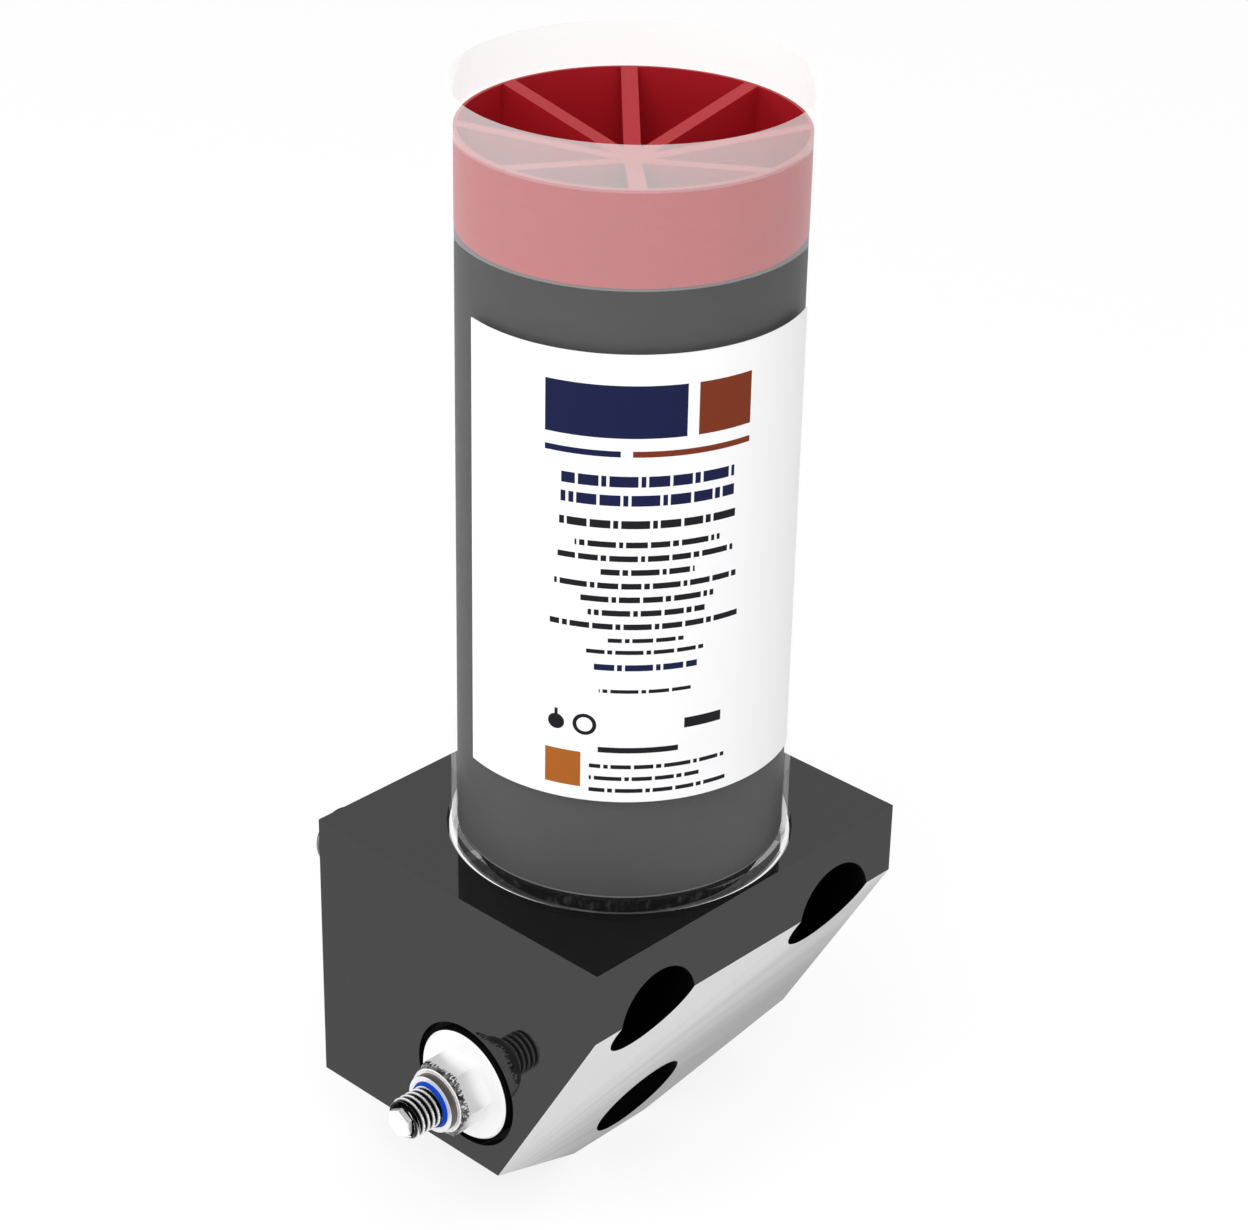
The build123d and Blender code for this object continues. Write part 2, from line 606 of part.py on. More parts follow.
# ---- every piece by the name of its node ----------------------------------------------------
pieces = {
    "body_block": body_block(),
    "mounting_bolts": mounting_bolts(),
    "oil_port_seal": port_seal(OIL_PORT_Y),
    "grease_port_seal": port_seal(GREASE_PORT_Y),
    "seat_ring": seat_ring(),
    "neck_seal": neck_seal(),
    "cartridge_tube": cartridge_tube(),
    "cartridge_label": cartridge_label(),
    "grease_fill": grease_fill(),
    "follower_piston": follower_piston(),
    "pump_cap": pump_cap(),
    "cap_seal": cap_seal(),
    "adjusting_screw": adjusting_screw(),
    "lock_nut": lock_nut(),
    "lock_nut_seal": lock_nut_seal(),
    "stop_pin": stop_pin(),
    "stop_pin_seal": stop_pin_seal(),
    "drive_piston": drive_piston(),
    "drive_piston_seal": drive_piston_seal(),
    "pump_plunger": pump_plunger(),
    "return_spring": return_spring(),
    "pump_sleeve": pump_sleeve(),
    "valve_seat": valve_seat(),
    "check_ball": check_ball(),
    "check_spring": check_spring(),
    "end_plug": end_plug(),
    "end_plug_seal": end_plug_seal(),
}

os.makedirs("parts", exist_ok=True)
for name, piece in pieces.items():
    export_step(piece, f"parts/{name}.step")
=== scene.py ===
"""Looks of a bolt-on grease lubricator: threads, finishes, label print, camera and studio.

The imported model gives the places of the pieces, and the values below give what a piece's
box doesn't tell. Lengths are in metres, with X = 0 on the mounting face, Y = 0 the middle
plane and Z = 0 the foot of the block.
"""

from math import cos, pi, radians, sin, tau

import bpy
from bpy.props import FloatProperty, FloatVectorProperty, PointerProperty
from mathutils import Matrix, Vector


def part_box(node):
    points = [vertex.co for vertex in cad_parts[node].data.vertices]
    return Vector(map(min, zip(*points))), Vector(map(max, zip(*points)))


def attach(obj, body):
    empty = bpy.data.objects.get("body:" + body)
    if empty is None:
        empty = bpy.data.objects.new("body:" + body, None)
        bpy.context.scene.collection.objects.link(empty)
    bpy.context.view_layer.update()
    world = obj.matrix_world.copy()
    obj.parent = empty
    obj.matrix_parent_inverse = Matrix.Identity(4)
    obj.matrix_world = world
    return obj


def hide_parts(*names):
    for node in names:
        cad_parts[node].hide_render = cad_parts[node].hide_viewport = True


bl_info = {
    "name": "Grease Lubricator Dressing",
    "version": (1, 0, 0),
    "blender": (4, 5, 0),
    "location": "View3D > Sidebar > Lubricator",
    "description": "Threads, finishes, label print and studio for a bolt-on grease lubricator",
    "category": "Object",
}

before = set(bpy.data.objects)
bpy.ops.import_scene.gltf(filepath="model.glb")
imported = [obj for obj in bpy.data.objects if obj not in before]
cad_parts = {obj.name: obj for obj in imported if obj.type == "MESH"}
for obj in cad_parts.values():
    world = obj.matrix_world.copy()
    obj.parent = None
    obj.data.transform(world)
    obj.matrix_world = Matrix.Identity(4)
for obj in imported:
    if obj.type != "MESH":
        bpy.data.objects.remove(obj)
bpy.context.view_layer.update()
MM = 0.001

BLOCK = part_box("body_block")
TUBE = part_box("cartridge_tube")
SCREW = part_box("adjusting_screw")
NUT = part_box("lock_nut")
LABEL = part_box("cartridge_label")
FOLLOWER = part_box("follower_piston")
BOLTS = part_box("mounting_bolts")
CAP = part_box("pump_cap")

CARTRIDGE_X = (TUBE[0].x + TUBE[1].x) / 2
TUBE_R = (TUBE[1].x - TUBE[0].x) / 2
PUMP_Z = (SCREW[0].z + SCREW[1].z) / 2
SCREW_R = (SCREW[1].z - SCREW[0].z) / 2
CAP_R = (CAP[1].x - CAP[0].x) / 2
BLOCK_TOP = BLOCK[1].z

# Block: the sloped front leans back under an upright strip; the painted shade of the holes
# reaches just past their counterbores
UNDERCUT = radians(30)
FRONT_STRIP = 14.3 * MM
SLOPE_HEIGHT = BLOCK_TOP - FRONT_STRIP
COUNTERBORE_R = 9.6 * MM

# Streaks on the front, grinding marks with bands of painted reflection, fan out from left of the middle
# and below the strip
FAN_LEFT = 44 * MM
FAN_BELOW = 46 * MM

# Cartridge
WALL = 1.05 * MM
GREASE_FLOOR = 75.1 * MM
RUB_R = 30.0 * MM

# Lock nut: a round collar on the outer end of its hexagon
NUT_COLLAR = 1.6 * MM
NUT_COLLAR_R = 5.6 * MM
NUT_CHAMFER = 1.5 * MM
NUT_CHAMFER_R = 6.35 * MM

# Socket head bolts
BOLT_R = 6 * MM
BOLT_NECK_R = 5.5 * MM
BOLT_HEAD_R = 9 * MM
BOLT_GRIP = 22 * MM
BOLT_KEY = 10 * MM
BOLT_KEY_DEPTH = 6 * MM
BOLT_TIP_CHAMFER = 0.5 * MM

# Setting screw
SCREW_KEY = 5 * MM
SCREW_KEY_DEPTH = 4 * MM
SCREW_KEY_REACH = 2.95 * MM
SCREW_CHAMFER = 0.6 * MM

# Threads: segments in a turn, and turns that stand over at each end until they are cut off.
# Edges flatter than the smooth angle are shaded smooth.
THREAD_STEPS = 48
SPARE_TURNS = 2
SMOOTH_ANGLE = radians(30)

# Shading: how near a face counts as on it, and the depth of fine bumps
NEAR = 0.05 * MM
BUMP_DEPTH = 0.01 * MM


def grey(level):
    return level, level, level


# ---- modelling helpers ---------------------------------------------------------------
def clear_selection():
    """Leaves edit mode and deselects everything, so that a tool acts on its own piece only."""
    if bpy.context.mode != "OBJECT":
        bpy.ops.object.mode_set(mode="OBJECT")
    bpy.ops.object.select_all(action="DESELECT")


def select_only(piece):
    clear_selection()
    piece.select_set(True)
    bpy.context.view_layer.objects.active = piece


def new_piece(name):
    """Names the primitive that was just added."""
    piece = bpy.context.active_object
    piece.name = name
    piece.data.name = name
    return piece


def settle(piece):
    """Puts a piece's place into its mesh, so that its object sits at the origin."""
    select_only(piece)
    bpy.ops.object.transform_apply(location=True, rotation=True, scale=True)


def place(piece, turn, shift):
    """Turns a piece by a matrix, moves it, and settles it there."""
    piece.matrix_world = Matrix.Translation(shift) @ turn
    settle(piece)


def apply_modifier(piece, kind, **settings):
    """Adds a modifier, sets it and applies it."""
    select_only(piece)
    modifier = piece.modifiers.new(kind.title(), kind)
    for name, value in settings.items():
        setattr(modifier, name, value)
    bpy.ops.object.modifier_apply(modifier=modifier.name)


def drawn_line(name, points):
    """A line from point to point, drawn as by hand from one extruded vertex."""
    clear_selection()
    bpy.ops.mesh.primitive_plane_add(size=MM)
    line = new_piece(name)
    bpy.ops.object.mode_set(mode="EDIT")
    bpy.ops.mesh.merge(type="CENTER")
    bpy.ops.transform.translate(value=points[0])
    for start, end in zip(points, points[1:]):
        step = Vector(end) - Vector(start)
        bpy.ops.mesh.extrude_vertices_move(TRANSFORM_OT_translate={"value": step})
    bpy.ops.object.mode_set(mode="OBJECT")
    return line


def outward(piece):
    """Merges doubles and points all faces outwards."""
    select_only(piece)
    bpy.ops.object.mode_set(mode="EDIT")
    bpy.ops.mesh.select_all(action="SELECT")
    bpy.ops.mesh.remove_doubles(threshold=1e-7)
    bpy.ops.mesh.normals_make_consistent(inside=False)
    bpy.ops.object.mode_set(mode="OBJECT")


def cut_flat(piece, height, keep_above):
    """Cuts a piece level at a height and closes the cut."""
    select_only(piece)
    bpy.ops.object.mode_set(mode="EDIT")
    bpy.ops.mesh.select_all(action="SELECT")
    bpy.ops.mesh.bisect(
        plane_co=(0, 0, height), plane_no=(0, 0, 1), use_fill=True,
        clear_inner=keep_above, clear_outer=not keep_above,
    )
    bpy.ops.object.mode_set(mode="OBJECT")


def turned(name, outline, steps):
    """Solid turned about Z from (radius, height) points that start and end on the axis."""
    line = drawn_line(name, [(r, 0, z) for r, z in outline])
    apply_modifier(
        line, "SCREW", axis="Z", angle=tau, steps=steps, render_steps=steps,
        use_merge_vertices=True, merge_threshold=1e-7,
    )
    outward(line)
    return line


def combine(piece, tool, operation):
    """Boolean of a piece with a tool, which is used up."""
    apply_modifier(piece, "BOOLEAN", operation=operation, object=tool, solver="EXACT")
    bpy.data.objects.remove(tool)


def hex_cutter(across_flats, low, high):
    """Hexagonal key shape along Z."""
    clear_selection()
    bpy.ops.mesh.primitive_cylinder_add(
        vertices=6, radius=across_flats / 3 ** 0.5, depth=high - low,
        location=(0, 0, (low + high) / 2),
    )
    cutter = new_piece("key_cutter")
    settle(cutter)
    return cutter


def threaded_rod(name, radius, pitch, depth, length, chamfer):
    """Screw thread of a V profile along Z from 0 to length, chamfered at both ends."""
    root = radius - depth
    profile = [
        (root, 0), (root, 0.12), (radius, 0.43), (radius, 0.57), (root, 0.88), (root, 1),
    ]
    turns = int(length / pitch) + 2 * SPARE_TURNS
    line = drawn_line(name, [(r, 0, share * pitch - SPARE_TURNS * pitch) for r, share in profile])
    apply_modifier(
        line, "SCREW", axis="Z", angle=tau, screw_offset=pitch, iterations=turns,
        steps=THREAD_STEPS, render_steps=THREAD_STEPS,
        use_merge_vertices=True, merge_threshold=1e-6,
    )
    cut_flat(line, 0, True)
    cut_flat(line, length, False)
    outward(line)
    inset = radius - chamfer
    envelope = turned("thread_envelope", [
        (0, 0), (inset, 0), (radius, chamfer),
        (radius, length - chamfer), (inset, length), (0, length),
    ], 64)
    combine(line, envelope, "INTERSECT")
    return line


def finish_piece(piece, body):
    """Shades a piece and makes it ride on its body."""
    select_only(piece)
    bpy.ops.object.shade_smooth_by_angle(angle=SMOOTH_ANGLE)
    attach(piece, body)


# ---- shader helpers ------------------------------------------------------------------
class Wire:
    """A socket in a finish; sums written with it add Math nodes."""

    def __init__(self, finish, socket):
        self.finish = finish
        self.socket = socket

    def math(self, operation, *values):
        return self.finish.node("ShaderNodeMath", {"operation": operation}, values)

    def __add__(self, other):
        return self.math("ADD", self, other)

    def __sub__(self, other):
        return self.math("SUBTRACT", self, other)

    def __mul__(self, other):
        return self.math("MULTIPLY", self, other)

    def __truediv__(self, other):
        return self.math("DIVIDE", self, other)

    def __radd__(self, other):
        return self.math("ADD", other, self)

    def __rsub__(self, other):
        return self.math("SUBTRACT", other, self)

    def __pow__(self, other):
        return self.math("POWER", self, other)

    def __neg__(self):
        return self.math("MULTIPLY", self, -1)

    def __abs__(self):
        return self.math("ABSOLUTE", self)

    def __gt__(self, other):
        return self.math("GREATER_THAN", self, other)

    def __lt__(self, other):
        return self.math("LESS_THAN", self, other)

    def __mod__(self, other):
        return self.math("FLOORED_MODULO", self, other)

    def least(self, other):
        return self.math("MINIMUM", self, other)

    def most(self, other):
        return self.math("MAXIMUM", self, other)


class Finish:
    """A material with one Principled shader, and the tools to feed it."""

    def __init__(self, name, **constants):
        self.material = bpy.data.materials.new(name)
        self.material.use_nodes = True
        self.tree = self.material.node_tree
        self.tree.nodes.clear()
        self.shader = self.tree.nodes.new("ShaderNodeBsdfPrincipled")
        output = self.tree.nodes.new("ShaderNodeOutputMaterial")
        self.tree.links.new(self.shader.outputs[0], output.inputs["Surface"])
        self.set(**constants)

    def feed(self, socket, value):
        """Links a wire to a socket, or sets the socket's own value."""
        if isinstance(value, Wire):
            self.tree.links.new(value.socket, socket)
        elif socket.type == "RGBA" and len(value) == 3:
            socket.default_value = (*value, 1)
        else:
            socket.default_value = value

    def set(self, **values):
        """Sets the shader's sockets by name, with _ for a blank."""
        for name, value in values.items():
            label = name.replace("_", " ").title().replace("Ior", "IOR")
            self.feed(self.shader.inputs[label], value)

    def node(self, kind, settings=None, values=(), output=0):
        """Adds a node with its settings, feeds its sockets and returns one output."""
        node = self.tree.nodes.new(kind)
        for name, value in (settings or {}).items():
            if name == "stops":
                ramp = node.color_ramp
                while len(ramp.elements) < len(value):
                    ramp.elements.new(0.5)
                for element, (position, colour) in zip(ramp.elements, value):
                    element.position = position
                    element.color = (*colour, 1)
            else:
                setattr(node, name, value)
        pairs = values.items() if isinstance(values, dict) else enumerate(values)
        for key, value in pairs:
            self.feed(node.inputs[key], value)
        return Wire(self, node.outputs[output])

    def position(self, centre=(0, 0, 0), scale=(1, 1, 1)):
        """Place on the piece, counted from a centre."""
        coordinates = self.node("ShaderNodeTexCoord", output="Object")
        shifted = self.node(
            "ShaderNodeMapping", {"vector_type": "TEXTURE"},
            {"Vector": coordinates, "Location": centre},
        )
        return self.node("ShaderNodeMapping", values={"Vector": shifted, "Scale": scale})

    def axes(self, vector):
        """X, Y and Z of a vector."""
        split = self.node("ShaderNodeSeparateXYZ", values=[vector])
        outputs = split.socket.node.outputs
        return [Wire(self, outputs[axis]) for axis in range(3)]

    def noise(self, vector, scale, detail=2.0, roughness=0.5):
        return self.node("ShaderNodeTexNoise", values={
            "Vector": vector, "Scale": scale, "Detail": detail, "Roughness": roughness,
        })

    def mix(self, factor, first, second, blend="MIX"):
        """Colour between two colours, or their blend."""
        settings = {"data_type": "RGBA", "blend_type": blend}
        return self.node("ShaderNodeMix", settings, {0: factor, 6: first, 7: second}, output=2)

    def round_pump(self, end=0):
        """Distance along the pump's axis from an end, and distance from that axis."""
        x, y, z = self.axes(self.position(centre=(CARTRIDGE_X, end, PUMP_Z)))
        return y, (x * x + z * z) ** 0.5

    def round_cartridge(self):
        """Height, and distance from the cartridge's axis."""
        x, y, z = self.axes(self.position(centre=(CARTRIDGE_X, 0, 0)))
        return z, (x * x + y * y) ** 0.5

    def along(self, value):
        """A vector with a value as its X, for noise in one direction."""
        return self.node("ShaderNodeCombineXYZ", values=[value, 0, 0])

    def direction(self, rise, run):
        """Angle of a rise over a run."""
        return self.node("ShaderNodeMath", {"operation": "ARCTAN2"}, [rise, run])

    def ramp(self, value, low, high):
        """Rises from 0 to 1 between two limits."""
        return self.node("ShaderNodeMapRange", values={
            "Value": value, "From Min": low, "From Max": high,
        })

    def within(self, value, low, high):
        """1 where a value lies between two limits, else 0."""
        return (value > low) * (value < high)

    def nearest_bolt(self):
        """Distance from the nearest bolt's axis."""
        x, y, z = self.axes(self.position())
        ways = []
        for bolt_y, bolt_z in bolt_places():
            side, rise = y - bolt_y, z - bolt_z
            ways.append((side * side + rise * rise) ** 0.5)
        return ways[0].least(ways[1]).least(ways[2])

    def bump(self, height, strength):
        """Fine relief."""
        return self.node("ShaderNodeBump", values={
            "Height": height, "Distance": BUMP_DEPTH, "Strength": strength,
        })


def dress(node, finish):
    """Gives a CAD node a finish."""
    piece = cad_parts[node]
    for slot in piece.material_slots:
        slot.material = finish.material


def wear(piece, finish):
    """Gives a new piece a finish."""
    piece.data.materials.clear()
    piece.data.materials.append(finish.material)


# ---- finishes ------------------------------------------------------------------------
def block_finish(colours):
    """Glossy blackened steel; the sloped front is left bare and carries painted reflection, and the bolt
    holes carry painted shade.
    """
    finish = Finish("blackened_steel", metallic=0.9, specular_tint=(0.6, 0.6, 0.6, 1))
    x, y, z = finish.axes(finish.position(centre=(BLOCK[1].x, 0, SLOPE_HEIGHT)))
    off_slope = x * cos(UNDERCUT) - z * sin(UNDERCUT)
    bare = (abs(off_slope) < 0.03 * MM) * (z < -0.02 * MM)
    # Painted reflection on the bare front: lightest at its top edge, darker towards the bottom and
    # towards +Y, in fan bands
    share = (-z) * (1 / SLOPE_HEIGHT) * 0.8 + (y - BLOCK[0].y) * 7.0
    fan = finish.direction(z + FAN_BELOW, y + FAN_LEFT)
    streak = finish.noise(finish.along(fan), 8.0, detail=1.5)
    reflection_band = finish.node("ShaderNodeMath", {"operation": "FRACT"}, [fan * 6.5 + streak * 1.5])
    tone = finish.node("ShaderNodeValToRGB", {"stops": [
        (0.0, grey(1.0)), (0.45, grey(0.98)), (0.6, grey(0.84)),
        (0.8, (0.62, 0.62, 0.625)), (1.0, (0.45, 0.45, 0.46)),
    ]}, [share + (streak - 0.5) * 0.25 + (reflection_band - 0.5) * 0.09])
    grain = finish.noise(finish.position(scale=(900, 900, 60)), 1.0, detail=3.0)
    # Painted shade in the bolt holes, near black out to just past their counterbores
    bore = finish.nearest_bolt() < COUNTERBORE_R
    dark = finish.mix(grain * 0.25, colours.block, [c * 0.8 for c in colours.block])
    dark = finish.mix(bore, dark, grey(0.006))
    finish.set(
        base_color=finish.mix(bare * (1 - bore), dark, tone),
        roughness=bare * 0.28 + (1 - bare) * (0.015 + grain * 0.02) + bore * 0.4,
    )
    return finish


def bright_finish(name, colour, roughness):
    """Bright metal with fine turning marks round the pump's axis."""
    finish = Finish(name, metallic=1.0)
    radius = finish.round_pump()[1]
    turn_metal(finish, radius, colour, roughness)
    return finish


def turn_metal(finish, radius, colour, roughness, paint=None):
    """Turning marks at a radius; paint may change the colour before it is used."""
    rings = finish.noise(finish.along(radius), 9000.0, detail=1)
    mottle = finish.noise(finish.position(), 900.0, detail=3)
    tone = finish.mix((rings - 0.5) * 0.3 + mottle * 0.15, colour, [c * 0.8 for c in colour])
    finish.set(
        base_color=paint(tone, mottle) if paint else tone,
        roughness=roughness + rings * 0.12,
        normal=finish.bump(rings, 0.3),
    )


def painted_thread_shade(finish, radius, crest, depth, tone):
    """Paints shade into the grooves of a thread; its crests stay bright."""
    share = finish.ramp(radius, crest - depth, crest)
    groove = finish.node("ShaderNodeValToRGB", {"stops": [
        (0.0, grey(0.004)), (0.5, grey(0.012)), (0.62, grey(0.35)), (0.85, grey(1)),
    ]}, [share])
    return finish.mix(1.0, tone, groove, blend="MULTIPLY")


def setting_screw_finish(colours, sizes):
    """Plated setting screw: painted shade in its thread grooves and on the walls of its key socket."""
    finish = Finish("plated_screw", metallic=0.6)
    depth, radius = finish.round_pump(SCREW[0].y)

    def paint(tone, mottle):
        # Painted shade in the grooves of the thread
        threaded = painted_thread_shade(finish, radius, SCREW_R, sizes.screw_depth, tone)
        # Painted shade on the walls of the key socket; its outer face stays bright
        inner = (radius < SCREW_KEY_REACH) * (depth < SCREW_KEY_DEPTH - NEAR)
        outer_face = depth < NEAR
        socket = inner * (1 - outer_face)
        tone = finish.mix(radius > SCREW_R - sizes.screw_depth - NEAR, tone, threaded)
        tone = finish.mix(outer_face, tone, colours.steel)
        return finish.mix(socket, tone, finish.mix(mottle, grey(0.003), grey(0.03)))

    turn_metal(finish, radius, colours.steel, 0.2, paint)
    return finish


def cap_finish(colours):
    """Plated cap with painted shade on its side, which sits in its recess."""
    finish = Finish("plated_cap", metallic=0.3)
    radius = finish.round_pump(CAP[0].y)[1]

    def paint(tone, mottle):
        # Painted shade on the side of the cap
        return finish.mix(radius > CAP_R - NEAR, tone, grey(0.008))

    turn_metal(finish, radius, colours.steel, 0.25, paint)
    return finish


def nut_finish(colours):
    """Plated nut: grey round its collar, rough dark chamfer corners, fine specks on its face."""
    finish = Finish("plated_nut", metallic=0.35)
    depth, radius = finish.round_pump(NUT[0].y)

    def paint(tone, mottle):
        collar = finish.within(depth, NEAR, NUT_COLLAR - NEAR) * (radius > NUT_COLLAR_R - 0.1 * MM)
        past_collar = depth - NUT_COLLAR
        # Dark patches in a noise pattern on the chamfer corners past the collar
        chamfer_noise = finish.noise(finish.position(scale=(1, 0.35, 1)), 2600.0, detail=2)
        dark_chamfer_patch = (past_collar > -0.02 * MM) * (radius > NUT_CHAMFER_R)
        dark_chamfer_patch = dark_chamfer_patch * (chamfer_noise > 0.30 + past_collar * (0.24 / NUT_CHAMFER))
        dark_chamfer_patch = dark_chamfer_patch * (past_collar < NUT_CHAMFER)
        speck = finish.noise(finish.position(), 2600.0, detail=1)
        face = finish.within(past_collar, -0.02 * MM, 0.02 * MM) * (speck > 0.63)
        tone = finish.mix(collar, tone, (0.127, 0.107, 0.102))
        tone = finish.mix(face, tone, grey(0.5))
        return finish.mix(dark_chamfer_patch, tone, finish.mix(mottle > 0.5, grey(0.03), grey(0.15)))

    turn_metal(finish, radius, colours.steel, 0.25, paint)
    return finish


def bolt_finish(colours, sizes):
    """Plated bolts: painted shade in the thread grooves, and a dark edge round each tip."""
    finish = Finish("plated_bolt", metallic=0.6)
    depth = finish.axes(finish.position(centre=(BOLTS[0].x, 0, 0)))[0]
    radius = finish.nearest_bolt()

    def paint(tone, mottle):
        # Painted shade in the grooves of the thread
        threaded = painted_thread_shade(finish, radius, BOLT_R, sizes.bolt_depth, tone)
        shaft = finish.within(depth, BOLT_TIP_CHAMFER + 0.1 * MM, 0.2 * MM - BOLTS[0].x)
        edge = finish.within(depth, 0.02 * MM, BOLT_TIP_CHAMFER + NEAR) * (radius > 5 * MM)
        tone = finish.mix(shaft, tone, threaded)
        return finish.mix(edge, tone, grey(0.004))

    turn_metal(finish, radius, colours.steel, 0.22, paint)
    return finish


def bolt_places():
    """Y and Z of the three bolts."""
    middle = (BOLTS[0].y + BOLTS[1].y) / 2
    spread = (BOLTS[1].y - BOLTS[0].y) / 2 - BOLT_HEAD_R
    high, low = BOLTS[1].z - BOLT_HEAD_R, BOLTS[0].z + BOLT_HEAD_R
    return (middle - spread, high), (middle + spread, high), (middle, low)


def plain_finish(name, colour, roughness, grain_scale, grain=0.12, **constants):
    """Even material with a fine grain in its colour, roughness and surface."""
    finish = Finish(name, **constants)
    speck = finish.noise(finish.position(), grain_scale, detail=3)
    dark = [c * (1 - grain) for c in colour]
    pale = [min(1, c * (1 + grain)) for c in colour]
    finish.set(
        base_color=finish.mix(speck, dark, pale),
        roughness=roughness + (speck - 0.5) * 0.1,
        normal=finish.bump(speck, 0.3),
    )
    return finish


def grease_finish(colours):
    """Dark smooth grease, pressed against the wall, paler in a thin line at its lower edge."""
    finish = Finish("grease", specular_ior_level=0.1)
    z = finish.axes(finish.position())[2]
    swirl = finish.noise(finish.position(scale=(60, 60, 25)), 1.0, detail=3)
    edge = finish.within(z, GREASE_FLOOR - 0.4 * MM, GREASE_FLOOR + 0.3 * MM)
    base = finish.mix(swirl, [c * 0.92 for c in colours.grease], [c * 1.08 for c in colours.grease])
    finish.set(
        base_color=finish.mix(edge, base, grey(0.2)),
        roughness=0.5 + (swirl - 0.5) * 0.1,
    )
    return finish


def follower_finish(colours):
    """Moulded red plastic, slightly paler where its skirt rubs on the wall."""
    finish = Finish("red_follower", specular_ior_level=0.25)
    radius = finish.round_cartridge()[1]
    skin = finish.noise(finish.position(), 500.0, detail=2)
    rub = (radius > RUB_R) * finish.noise(finish.position(scale=(1, 1, 9)), 220.0)
    base = finish.mix(skin * 0.3, colours.follower, [c * 0.9 for c in colours.follower])
    finish.set(
        base_color=finish.mix(rub * 0.08, base, (0.8, 0.3, 0.3)),
        roughness=0.38 + skin * 0.1,
        normal=finish.bump(skin, 0.1),
    )
    return finish


# How opaque the tube's film is: everywhere, and more where it is seen edge on, dry above the
# follower or beside it; and below the grease, where it carries painted shadow
FILM, EDGE_FILM, DRY_FILM, BESIDE_FILM = 0.015, 0.12, 0.34, 0.16
SHADOW_FILM = 0.85


def tube_finish(colours):
    """Clear wall: a faint film, thicker where dry above the follower, with painted shadow round its
    floor.

    The wall shows white where it is seen edge on, as thick clear plastic does. Its film glows with
    painted light, except in the painted shadow.
    """
    finish = Finish("clear_tube_painted_light", roughness=0.06, emission_strength=1.0)
    z, radius = finish.round_cartridge()
    level = abs(finish.axes(finish.node("ShaderNodeTexCoord", output="Normal"))[2]) > 0.5
    outside = (radius > TUBE_R - WALL / 2) * (1 - level)
    dry = finish.ramp(z, FOLLOWER[1].z - 0.3 * MM, FOLLOWER[1].z + 0.3 * MM)
    beside = finish.within(z, FOLLOWER[0].z, FOLLOWER[1].z)
    low = z < GREASE_FLOOR
    facing = finish.node("ShaderNodeLayerWeight", values=[0.5], output="Facing")
    edge_on = finish.ramp(facing, 0.77, 0.80)
    speck = finish.noise(finish.position(scale=(1, 1, 0.5)), 650.0, detail=4, roughness=0.65)
    # Painted shadow of the thread and the gasket, speckled, on the wall below the grease
    painted_socket_shadow = finish.mix(finish.ramp(speck, 0.52, 0.62), grey(0.010), grey(0.045))
    painted_shadow_zone = (low * (1 - edge_on)).most(level * low)
    film = FILM + edge_on * EDGE_FILM + dry * DRY_FILM + beside * BESIDE_FILM
    wall = film * (1 - low) + low * (SHADOW_FILM + edge_on * 0.1)
    # Level faces below the grease, inside the wall, are near opaque and carry the painted shadow
    base = level * low * (radius < TUBE_R - WALL) * 0.9
    # Painted glow: the film gives off grey light of its own, except in the painted shadow
    finish.set(
        base_color=finish.mix(painted_shadow_zone, colours.tube, painted_socket_shadow),
        emission_color=finish.mix(painted_shadow_zone, grey(0.36), grey(0)),
        alpha=outside * wall + base,
    )
    return finish


LABEL_ANGLE = radians(-39.5)
LABEL_WIDTH = 70.0
LABEL_MIDDLE = LABEL_WIDTH / 2

# Print, in millimetres from the lower left corner of the flat label.
# A bar is (left, right, low, high), a disc (across, up, radius), and a set of rows (low,
# rows, pitch, height, mean half width, how far that varies, seed).
NAVY_BARS = ((17, 41, 70, 79.5), (17, 30, 66.6, 67.7))
NAVY_ROWS = ((57.6, 2, 3.5, 2.0, 14.5, 1.5, 0.4), (26.2, 1, 3.0, 1.2, 9, 0, 0.9))
RUST_BARS = ((43, 53, 70, 79.5), (32, 53, 66.6, 67.7))
AMBER_BARS = ((17.5, 24, 2.6, 9.6),)
INK_BARS = ((19.2, 19.8, 16.2, 17.6), (42, 49, 14.2, 16.2), (27, 41, 9.9, 11.0))
INK_ROWS = (
    (53.4, 1, 3.0, 1.5, 15.5, 0, 2.0), (34.2, 7, 2.6, 1.1, 12.5, 4.5, 1.3),
    (29.4, 2, 2.3, 0.8, 9, 2.5, 2.6), (21.8, 1, 2.0, 0.7, 8, 0, 3.3),
)
SMALL_ROWS = ((1.9, 3, 2.4, 0.8, 13, 3.0, 2.2),)
SMALL_ROWS_LEFT = 25.5
DROP = (19.5, 15.0, 1.5)
RING, RING_HOLE = (24.6, 15.2, 2.1), (24.6, 15.2, 1.4)


